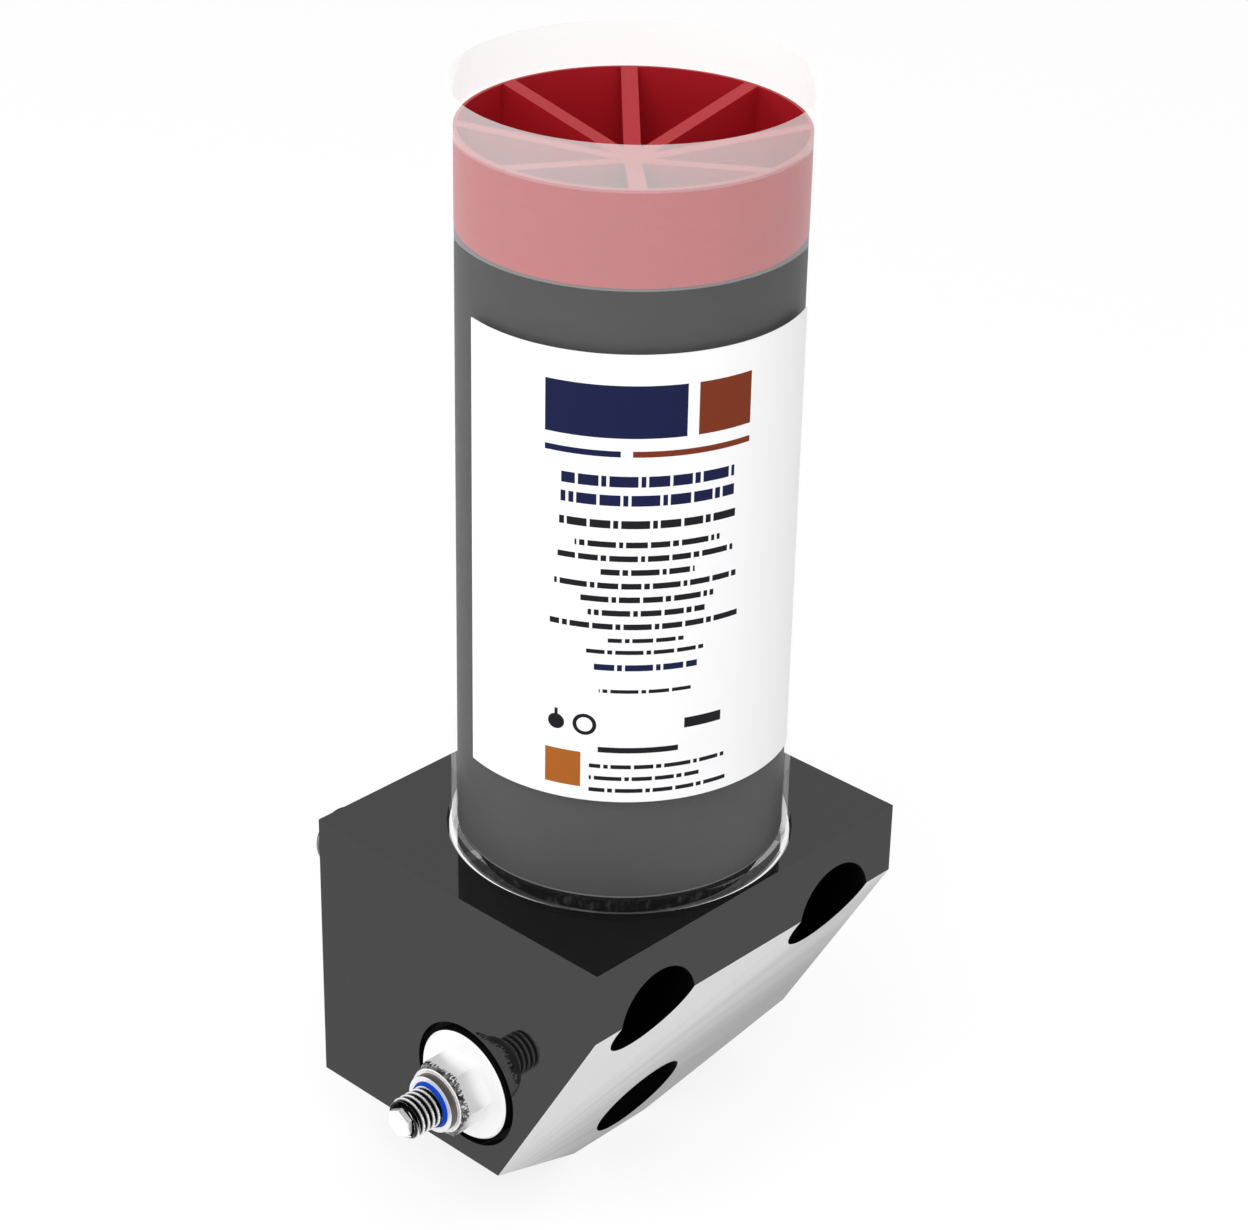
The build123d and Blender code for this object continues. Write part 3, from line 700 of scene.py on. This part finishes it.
def label_finish(colours):
    """White film with generic print: bars of colour, rows of plain dashes and a few shapes."""
    finish = Finish("printed_label", roughness=0.5, specular_ior_level=0.05)
    x, y, z = finish.axes(finish.position(centre=(CARTRIDGE_X, 0, LABEL[0].z)))
    across = (finish.direction(y, x) - LABEL_ANGLE) * (TUBE_R / MM) + LABEL_MIDDLE
    up = z * (1 / MM)

    def bars(shapes):
        masks = [
            finish.within(across, left, right) * finish.within(up, low, high)
            for left, right, low, high in shapes
        ]
        return sum(masks[1:], masks[0])

    def rows(shapes):
        """Rows of dashes about a middle line, each of its own length.

        Two patterns of gaps that are out of step cut a row into words.
        """
        masks = []
        for low, count, pitch, height, half_width, spread, seed in shapes:
            level = (up - low) / pitch
            number = finish.node("ShaderNodeMath", {"operation": "FLOOR"}, [level])
            in_row = (level - number) < height / pitch
            toss = finish.node("ShaderNodeMath", {"operation": "SINE"}, [number * 2.4 + seed])
            reach = abs(across - LABEL_MIDDLE) < half_width + toss * spread
            slide = across + number * 3.7 + seed
            words = ((slide % 5.3) > 0.5) * (((slide + 1.1) % 7.9) > 0.45)
            masks.append(finish.within(up, low, low + count * pitch) * in_row * reach * words)
        return sum(masks[1:], masks[0])

    def disc(middle, height, radius):
        return ((across - middle) ** 2 + (up - height) ** 2) < radius ** 2

    shapes = disc(*DROP) + disc(*RING) * (1 - disc(*RING_HOLE))
    small = rows(SMALL_ROWS) * (across > SMALL_ROWS_LEFT)
    paper = finish.noise(finish.position(), 700.0, detail=2)
    colour = finish.mix(paper * 0.3, colours.label, [c * 0.97 for c in colours.label])
    for mask, tint in (
        (bars(NAVY_BARS) + rows(NAVY_ROWS), colours.navy),
        (bars(RUST_BARS), colours.rust),
        (bars(AMBER_BARS), colours.amber),
        (bars(INK_BARS) + rows(INK_ROWS) + shapes + small, colours.ink),
    ):
        colour = finish.mix(mask.least(1.0), colour, tint)
    finish.set(base_color=colour)
    return finish


# ---- settings ------------------------------------------------------------------------
def colour_setting(name, description, default):
    return FloatVectorProperty(
        name=name, description=description, subtype="COLOR", default=default, min=0, max=1)


def length_setting(name, description, default, low, high):
    return FloatProperty(
        name=name, description=description, unit="LENGTH", default=default, min=low, max=high)


class LubricatorColours(bpy.types.PropertyGroup):
    """Colours that a user would change."""

    block: colour_setting("Block", "Blackened steel of the block", grey(0.064))
    steel: colour_setting("Bright steel", "Plated screws, nut and cap", grey(0.95))
    follower: colour_setting("Follower", "Moulded follower piston", (0.40, 0.010, 0.017))
    grease: colour_setting("Grease", "Grease column", grey(0.075))
    tube: colour_setting("Tube", "Film of the clear tube", grey(0.75))
    label: colour_setting("Label", "Label film", grey(0.95))
    navy: colour_setting("Navy print", "Large printed fields", (0.012, 0.016, 0.062))
    rust: colour_setting("Rust print", "Second printed colour", (0.20, 0.038, 0.016))
    amber: colour_setting("Amber print", "Printed square", (0.40, 0.12, 0.02))
    ink: colour_setting("Ink", "Printed dashes", (0.015, 0.015, 0.018))
    seal: colour_setting("Nut seal", "Seal ring in the lock nut", (0.0, 0.052, 0.46))
    ring: colour_setting("Seat ring", "White ring in the socket", grey(0.93))


class LubricatorSizes(bpy.types.PropertyGroup):
    """Sizes of the threads that the plain rods stand for."""

    screw_pitch: length_setting(
        "Setting screw pitch", "Pitch of the M8 thread", 1.25 * MM, 0.5 * MM, 2 * MM)
    screw_depth: length_setting(
        "Setting screw thread depth", "Crest to root", 0.72 * MM, 0.2 * MM, 1 * MM)
    bolt_pitch: length_setting(
        "Bolt pitch", "Pitch of the M12 thread", 1.75 * MM, 1 * MM, 2.5 * MM)
    bolt_depth: length_setting(
        "Bolt thread depth", "Crest to root", 1.0 * MM, 0.4 * MM, 1.4 * MM)


class LubricatorStudio(bpy.types.PropertyGroup):
    """Light and camera."""

    key: FloatProperty(
        name="Key light", description="Power of the large soft lamp above", unit="POWER",
        default=3.4, min=0, max=200)
    fill: FloatProperty(
        name="Fill light", description="Power of the soft lamp on the left", unit="POWER",
        default=1.7, min=0, max=200)
    ambient: FloatProperty(
        name="Ambient", description="Strength of the light from all round",
        default=0.7, min=0, max=2)
    lens: FloatProperty(
        name="Lens", description="Focal length in millimetres", default=93.974, min=20, max=300)


# ---- operators -----------------------------------------------------------------------
class LUBRICATOR_OT_block(bpy.types.Operator):
    """Finishes the block, its seals and its end plug"""

    bl_idname = "lubricator.block"
    bl_label = "Finish Block"

    def execute(self, context):
        colours = context.scene.lubricator_colours
        dress("body_block", block_finish(colours))
        rubber = plain_finish("black_rubber", grey(0.018), 0.55, 1500.0)
        for node in (
            "oil_port_seal", "grease_port_seal", "neck_seal",
            "cap_seal", "stop_pin_seal", "drive_piston_seal",
        ):
            dress(node, rubber)
        dress("end_plug", plain_finish("black_oxide", (0.03, 0.03, 0.032), 0.35, 1200.0, metallic=0.8))
        dress("end_plug_seal", plain_finish("soft_copper", (0.72, 0.40, 0.26), 0.3, 900.0, metallic=1.0))
        # The seat ring glows faintly with painted light, which keeps it white down in its groove
        dress("seat_ring", plain_finish(
            "white_nylon", colours.ring, 0.4, 1100.0, grain=0.03,
            emission_color=grey(0.35), emission_strength=1.0))
        return {"FINISHED"}


class LUBRICATOR_OT_bolts(bpy.types.Operator):
    """Models the three socket head bolts with threaded ends"""

    bl_idname = "lubricator.bolts"
    bl_label = "Model Mounting Bolts"

    def execute(self, context):
        sizes = context.scene.lubricator_sizes
        tip, top = BOLTS[0].x, BOLTS[1].x
        thread = -tip
        seat = thread + BOLT_GRIP
        length = top - tip
        rod = threaded_rod(
            "bolt", BOLT_R - 0.01 * MM, sizes.bolt_pitch, sizes.bolt_depth,
            thread + 0.3 * MM, BOLT_TIP_CHAMFER,
        )
        neck, head_r = BOLT_NECK_R, BOLT_HEAD_R
        head = turned("bolt_head", [
            (0, thread - 0.4 * MM), (neck - 0.5 * MM, thread - 0.4 * MM), (neck, thread + 0.1 * MM),
            (neck, seat - 0.4 * MM), (neck + 0.4 * MM, seat),
            (head_r - 0.4 * MM, seat), (head_r, seat + 0.4 * MM),
            (head_r, length - 0.8 * MM), (head_r - 0.25 * MM, length - 0.35 * MM),
            (head_r - 0.8 * MM, length), (0, length),
        ], 72)
        combine(rod, head, "UNION")
        combine(rod, hex_cutter(BOLT_KEY, length - BOLT_KEY_DEPTH, length + MM), "DIFFERENCE")
        finish = bolt_finish(context.scene.lubricator_colours, sizes)
        along_x = Matrix.Rotation(pi / 2, 4, "Y")
        bolts = []
        for number, (y, z) in enumerate(bolt_places()):
            bolt = rod.copy()
            bolt.data = rod.data.copy()
            bolt.name = f"mounting_bolt_{number + 1}"
            context.collection.objects.link(bolt)
            place(bolt, along_x @ Matrix.Rotation(0.5 * number, 4, "Z"), (tip, y, z))
            wear(bolt, finish)
            finish_piece(bolt, "block")
            bolts.append(bolt)
        bpy.data.objects.remove(rod)
        for bolt in bolts:
            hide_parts("mounting_bolts")
        return {"FINISHED"}


class LUBRICATOR_OT_setting(bpy.types.Operator):
    """Models the threaded setting screw, and finishes the nut, its seal and the pump cap"""

    bl_idname = "lubricator.setting"
    bl_label = "Model Stroke Setting"

    def execute(self, context):
        sizes = context.scene.lubricator_sizes
        colours = context.scene.lubricator_colours
        length = SCREW[1].y - SCREW[0].y
        rod = threaded_rod(
            "setting_screw", SCREW_R, sizes.screw_pitch, sizes.screw_depth, length, SCREW_CHAMFER
        )
        combine(rod, hex_cutter(SCREW_KEY, -MM, SCREW_KEY_DEPTH), "DIFFERENCE")
        along_y = Matrix.Rotation(-pi / 2, 4, "X")
        place(rod, along_y, (CARTRIDGE_X, SCREW[0].y, PUMP_Z))
        wear(rod, setting_screw_finish(colours, sizes))
        finish_piece(rod, "setting_screw")
        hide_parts("adjusting_screw")
        dress("lock_nut", nut_finish(colours))
        dress("pump_cap", cap_finish(colours))
        dress("lock_nut_seal", plain_finish(
            "blue_seal", colours.seal, 0.5, 1500.0, specular_ior_level=0.1))
        return {"FINISHED"}


class LUBRICATOR_OT_cartridge(bpy.types.Operator):
    """Finishes the clear cartridge, its label, the grease and the follower piston"""

    bl_idname = "lubricator.cartridge"
    bl_label = "Finish Cartridge"

    def execute(self, context):
        colours = context.scene.lubricator_colours
        dress("cartridge_tube", tube_finish(colours))
        dress("cartridge_label", label_finish(colours))
        dress("grease_fill", grease_finish(colours))
        dress("follower_piston", follower_finish(colours))
        return {"FINISHED"}


class LUBRICATOR_OT_pump(bpy.types.Operator):
    """Finishes the hidden pump pieces"""

    bl_idname = "lubricator.pump"
    bl_label = "Finish Pump"

    def execute(self, context):
        ground = bright_finish("ground_steel", (0.62, 0.62, 0.63), 0.15)
        for node in ("stop_pin", "drive_piston", "pump_plunger", "valve_seat", "check_ball"):
            dress(node, ground)
        spring = plain_finish("spring_wire", (0.5, 0.5, 0.51), 0.3, 1200.0, metallic=1.0)
        dress("return_spring", spring)
        dress("check_spring", spring)
        dress("pump_sleeve", bright_finish("turned_bronze", (0.62, 0.42, 0.2), 0.22))
        return {"FINISHED"}


# Lamps: place and size; camera: what it looks at, from how far and from where
KEY_PLACE, KEY_SIZE = (0.35, -0.45, 0.75), 0.7
FILL_PLACE, FILL_SIZE = (-0.6, -0.5, 0.35), 0.6
CAMERA_TARGET = Vector((76.724, -40.183, 145.845)) * MM
CAMERA_DISTANCE = 523.896 * MM
CAMERA_AZIMUTH = radians(43.096)
CAMERA_ELEVATION = radians(28.384)
CAMERA_ROLL = radians(1.1814)


class LUBRICATOR_OT_stage(bpy.types.Operator):
    """Sets up the floor, the studio light and the camera"""

    bl_idname = "lubricator.stage"
    bl_label = "Set Stage"

    def execute(self, context):
        studio = context.scene.lubricator_studio
        self.floor()
        self.world(context, studio)
        self.lamp("key_lamp", studio.key, KEY_PLACE, KEY_SIZE)
        self.lamp("fill_lamp", studio.fill, FILL_PLACE, FILL_SIZE)
        self.camera(context, studio)
        context.scene.view_settings.view_transform = "Standard"
        return {"FINISHED"}

    @staticmethod
    def floor():
        """White floor that the camera and mirrors see as plain white."""
        clear_selection()
        bpy.ops.mesh.primitive_plane_add(size=6.0, location=(0, 0, 0))
        floor = new_piece("studio_floor")
        finish = Finish("floor", base_color=grey(0.9), roughness=0.9, specular_ior_level=0)
        seen = finish.node("ShaderNodeLightPath", output="Is Camera Ray")
        path = seen.socket.node.outputs
        mirrored = Wire(finish, path["Is Glossy Ray"]).most(Wire(finish, path["Is Transmission Ray"]))
        white = finish.node("ShaderNodeEmission", values={"Color": grey(1), "Strength": 1.05})
        shown = finish.node("ShaderNodeMixShader", values=[
            mirrored.most(seen * 0.8), Wire(finish, finish.shader.outputs[0]), white,
        ])
        output = next(node for node in finish.tree.nodes if node.type == "OUTPUT_MATERIAL")
        finish.feed(output.inputs["Surface"], shown)
        wear(floor, finish)

    @staticmethod
    def world(context, studio):
        """White all round where it is seen, and weaker where it only lights."""
        world = context.scene.world or bpy.data.worlds.new("studio")
        context.scene.world = world
        world.use_nodes = True
        tree = world.node_tree
        tree.nodes.clear()
        rays = tree.nodes.new("ShaderNodeLightPath").outputs
        seen = rays["Is Camera Ray"]
        for ray in ("Is Glossy Ray", "Is Transmission Ray"):
            most = tree.nodes.new("ShaderNodeMath")
            most.operation = "MAXIMUM"
            tree.links.new(seen, most.inputs[0])
            tree.links.new(rays[ray], most.inputs[1])
            seen = most.outputs[0]
        mix = tree.nodes.new("ShaderNodeMixShader")
        tree.links.new(seen, mix.inputs[0])
        for socket, strength in ((1, studio.ambient), (2, 1.0)):
            sky = tree.nodes.new("ShaderNodeBackground")
            sky.inputs["Color"].default_value = (*grey(1), 1)
            sky.inputs["Strength"].default_value = strength
            tree.links.new(sky.outputs[0], mix.inputs[socket])
        output = tree.nodes.new("ShaderNodeOutputWorld")
        tree.links.new(mix.outputs[0], output.inputs["Surface"])

    @staticmethod
    def lamp(name, power, position, size):
        """A soft lamp turned towards the cartridge, unseen in reflections."""
        clear_selection()
        bpy.ops.object.light_add(type="AREA", location=position)
        lamp = bpy.context.active_object
        lamp.name = name
        lamp.data.energy = power
        lamp.data.shape = "DISK"
        lamp.data.size = size
        lamp.visible_glossy = False
        aim = Vector((CARTRIDGE_X, 0, 0.1)) - Vector(position)
        lamp.rotation_euler = aim.to_track_quat("-Z", "Y").to_euler()

    @staticmethod
    def camera(context, studio):
        level = cos(CAMERA_ELEVATION)
        back = Vector((
            sin(CAMERA_AZIMUTH) * level, -cos(CAMERA_AZIMUTH) * level, sin(CAMERA_ELEVATION),
        ))
        right = Vector((cos(CAMERA_AZIMUTH), sin(CAMERA_AZIMUTH), 0))
        up = back.cross(right)
        side = right * cos(CAMERA_ROLL) + up * sin(CAMERA_ROLL)
        above = up * cos(CAMERA_ROLL) - right * sin(CAMERA_ROLL)
        clear_selection()
        bpy.ops.object.camera_add()
        camera = bpy.context.active_object
        camera.name = "product_camera"
        camera.matrix_world = Matrix((side, above, back)).transposed().to_4x4()
        camera.location = CAMERA_TARGET + back * CAMERA_DISTANCE
        camera.data.sensor_width = 36
        camera.data.lens = studio.lens
        camera.data.clip_start = 0.01
        context.scene.camera = camera


class LUBRICATOR_PT_panel(bpy.types.Panel):
    """Panel in the sidebar"""

    bl_label = "Grease Lubricator"
    bl_idname = "LUBRICATOR_PT_panel"
    bl_space_type = "VIEW_3D"
    bl_region_type = "UI"
    bl_category = "Lubricator"

    def draw(self, context):
        layout = self.layout
        scene = context.scene
        for settings in (
            scene.lubricator_sizes, scene.lubricator_colours, scene.lubricator_studio,
        ):
            box = layout.box()
            for name in settings.bl_rna.properties.keys():
                if name not in ("rna_type", "name"):
                    box.prop(settings, name)
        for operator in OPERATORS:
            layout.operator(operator.bl_idname)


SETTINGS = (LubricatorColours, LubricatorSizes, LubricatorStudio)
OPERATORS = (
    LUBRICATOR_OT_block, LUBRICATOR_OT_bolts, LUBRICATOR_OT_setting, LUBRICATOR_OT_cartridge,
    LUBRICATOR_OT_pump, LUBRICATOR_OT_stage,
)


def register():
    for cls in (*SETTINGS, *OPERATORS, LUBRICATOR_PT_panel):
        bpy.utils.register_class(cls)
    bpy.types.Scene.lubricator_colours = PointerProperty(type=LubricatorColours)
    bpy.types.Scene.lubricator_sizes = PointerProperty(type=LubricatorSizes)
    bpy.types.Scene.lubricator_studio = PointerProperty(type=LubricatorStudio)


def unregister():
    del bpy.types.Scene.lubricator_studio
    del bpy.types.Scene.lubricator_sizes
    del bpy.types.Scene.lubricator_colours
    for cls in reversed((*SETTINGS, *OPERATORS, LUBRICATOR_PT_panel)):
        bpy.utils.unregister_class(cls)


def main():
    register()
    bpy.ops.lubricator.block()
    bpy.ops.lubricator.bolts()
    bpy.ops.lubricator.setting()
    bpy.ops.lubricator.cartridge()
    bpy.ops.lubricator.pump()
    bpy.ops.lubricator.stage()


if __name__ == "__main__":
    main()
